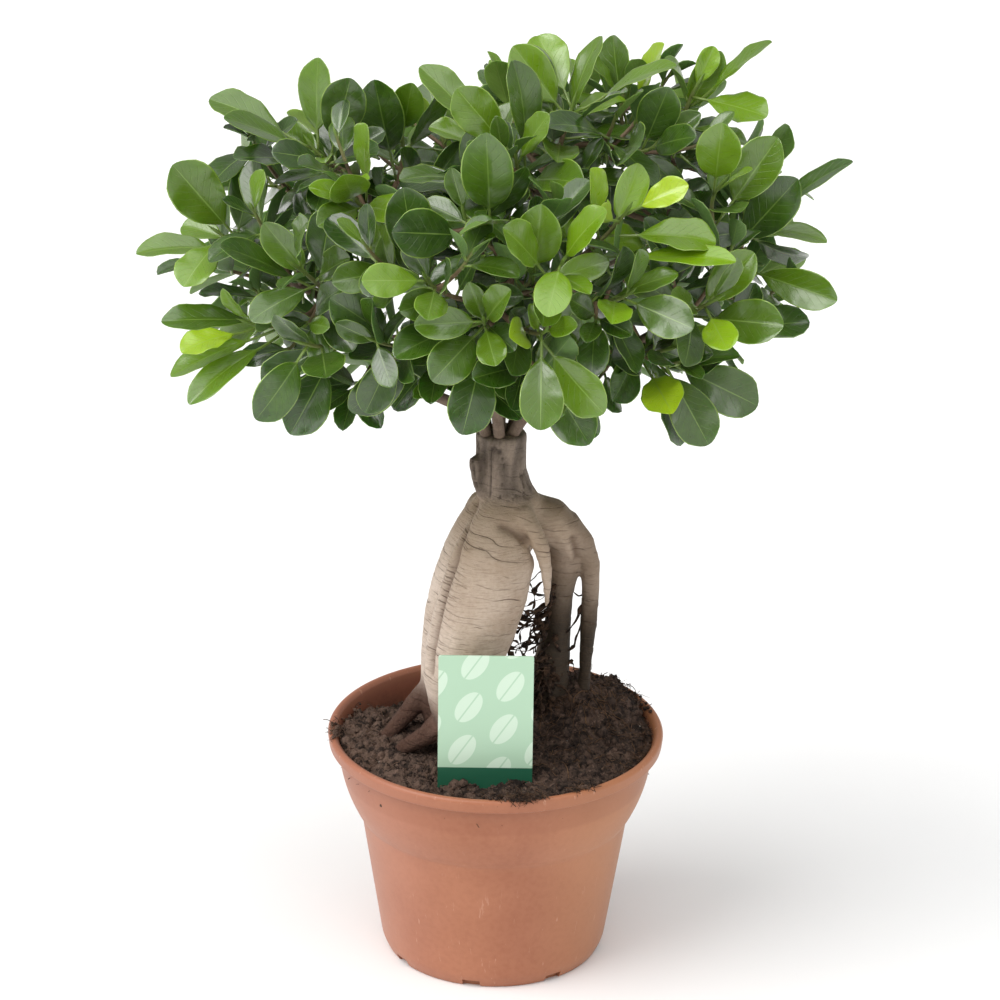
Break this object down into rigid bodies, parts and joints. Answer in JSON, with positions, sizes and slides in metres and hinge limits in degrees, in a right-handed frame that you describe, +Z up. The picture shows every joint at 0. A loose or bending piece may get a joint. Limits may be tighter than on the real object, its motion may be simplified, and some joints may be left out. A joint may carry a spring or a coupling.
{
  "type": "potted ginseng ficus",
  "caption": "Potted ginseng ficus: swollen grey root legs in lumpy soil, grafted branches with a dense crown of glossy oval leaves, a plant card and a ridged nursery pot.",
  "frame": {"origin": "centre of the pot's flat base, on the surface that the plant stands on", "axes": "+Z up along the pot's axis; +X to the right and -Y towards the viewer of the plant card"},
  "size_m": [0.3434, 0.2844, 0.4835],
  "materials": {
    "pot": "satin terracotta-coloured thin plastic, faintly scuffed",
    "soil": "dark fibrous moist peat, crumbly",
    "bark": "smooth grey-tan root bark with fine cross wrinkles",
    "twig": "dull brown branch bark",
    "leaf": "thick glossy leaves, dark green, young ones yellow-green",
    "card": "smooth coated card, pale green with a darker band"
  },
  "bodies": {
    "root": {"pot": "pot", "soil": "soil", "rootstock": "bark", "label": "card", "scion_1": "twig", "scion_2": "twig", "scion_3": "twig", "scion_4": "twig", "scion_5": "twig", "scion_6": "twig", "scion_7": "twig", "shoot_01": "leaf", "shoot_02": "leaf", "shoot_03": "leaf", "shoot_04": "leaf", "shoot_05": "leaf", "shoot_06": "leaf", "shoot_07": "leaf", "shoot_08": "leaf", "shoot_09": "leaf", "shoot_10": "leaf", "shoot_11": "leaf", "shoot_12": "leaf", "shoot_13": "leaf", "shoot_14": "leaf", "shoot_15": "leaf", "shoot_16": "leaf", "shoot_17": "leaf", "shoot_18": "leaf", "shoot_19": "leaf", "shoot_20": "leaf", "shoot_21": "leaf", "shoot_22": "leaf", "shoot_23": "leaf", "shoot_24": "leaf", "shoot_25": "leaf", "shoot_26": "leaf", "shoot_27": "leaf", "shoot_28": "leaf", "shoot_29": "leaf", "shoot_30": "leaf", "shoot_31": "leaf", "shoot_32": "leaf", "shoot_33": "leaf", "shoot_34": "leaf", "shoot_35": "leaf", "shoot_36": "leaf", "shoot_37": "leaf", "shoot_38": "leaf", "shoot_39": "leaf", "shoot_40": "leaf", "shoot_41": "leaf", "shoot_42": "leaf", "shoot_43": "leaf", "shoot_44": "leaf", "shoot_45": "leaf", "shoot_46": "leaf", "shoot_47": "leaf"}
  },
  "joints": []
}
